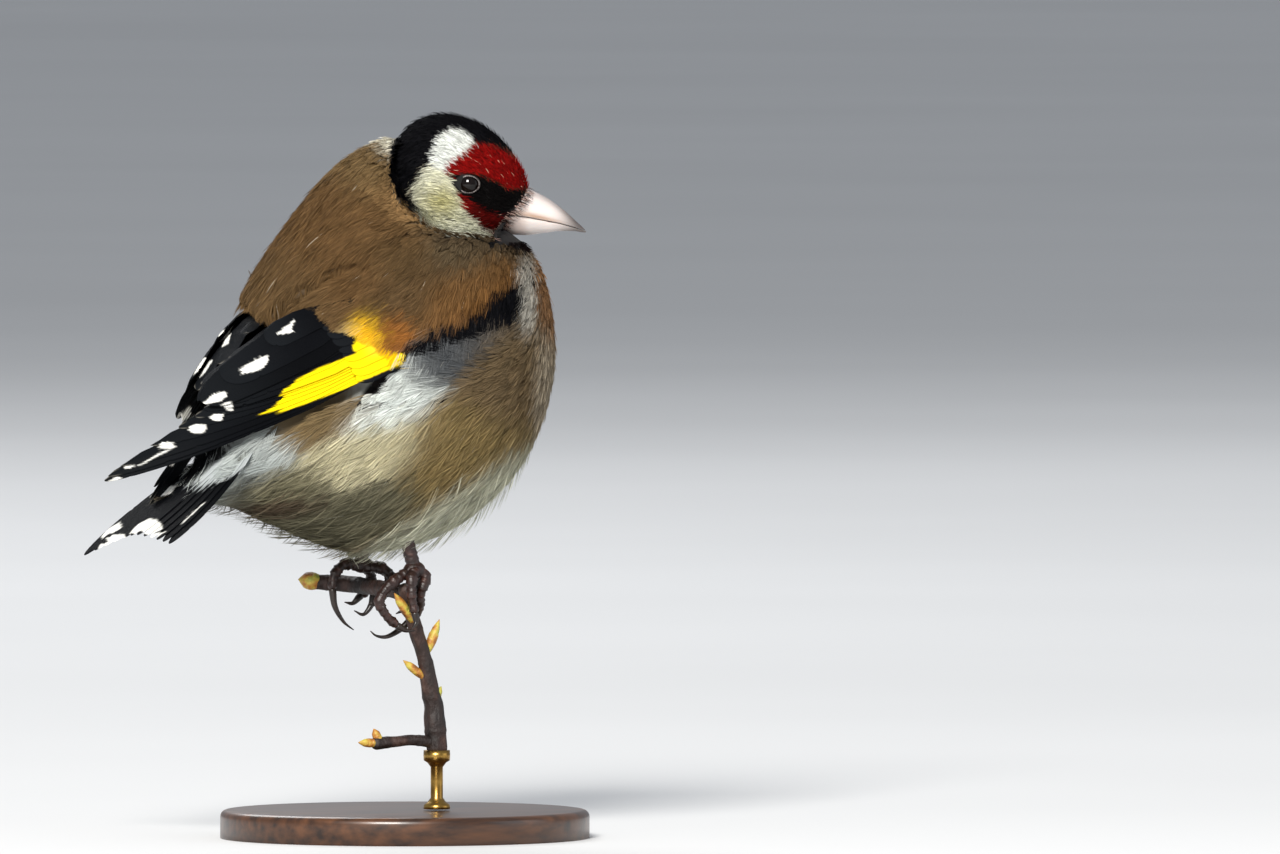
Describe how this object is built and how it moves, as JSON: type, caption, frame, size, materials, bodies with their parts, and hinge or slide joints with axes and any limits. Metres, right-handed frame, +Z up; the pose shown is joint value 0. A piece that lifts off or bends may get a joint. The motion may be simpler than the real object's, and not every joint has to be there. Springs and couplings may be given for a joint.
{
  "type": "perched goldfinch model",
  "caption": "Life-size still model of a fluffed European goldfinch gripping a short cut twig, looking aside, with the twig held on a rod over a flat round base.",
  "frame": {"origin": "middle of the flat underside of the round base, on the surface the model stands on", "axes": "+X the way the bird's body faces, +Y the bird's left, +Z up"},
  "size_m": [0.0948, 0.066, 0.1292],
  "materials": {
    "plumage": "soft matt feathers, brown above and buff to cream below",
    "face_plumage": "soft matt feathers, crimson, black and white",
    "flight_feathers": "smooth dull black feathers with yellow and white marks",
    "bill_horn": "smooth ivory horn with a faint sheen",
    "eye": "wet gloss, near black",
    "leg": "scaled skin, dull dark red-brown",
    "claw_horn": "smooth dark horn",
    "bark": "thin dull bark with green-brown buds",
    "stand_brass": "brushed, slightly aged",
    "stand_wood": "dark stained, satin"
  },
  "bodies": {
    "root": {"torso": "plumage", "neck": "plumage", "head": "face_plumage", "wing_right": "flight_feathers", "wing_left": "flight_feathers", "tail": "flight_feathers", "thigh_right": "plumage", "thigh_left": "plumage", "bill_upper": "bill_horn", "bill_lower": "bill_horn", "eye_right": "eye", "eye_left": "eye", "tarsus_right": "leg", "tarsus_left": "leg", "foot_right": "leg", "foot_left": "leg", "claw_right_outer": "claw_horn", "claw_right_middle": "claw_horn", "claw_right_inner": "claw_horn", "claw_right_hind": "claw_horn", "claw_left_outer": "claw_horn", "claw_left_middle": "claw_horn", "claw_left_inner": "claw_horn", "claw_left_hind": "claw_horn", "perch": "bark", "stand_rod": "stand_brass", "stand_base": "stand_wood"}
  },
  "joints": []
}
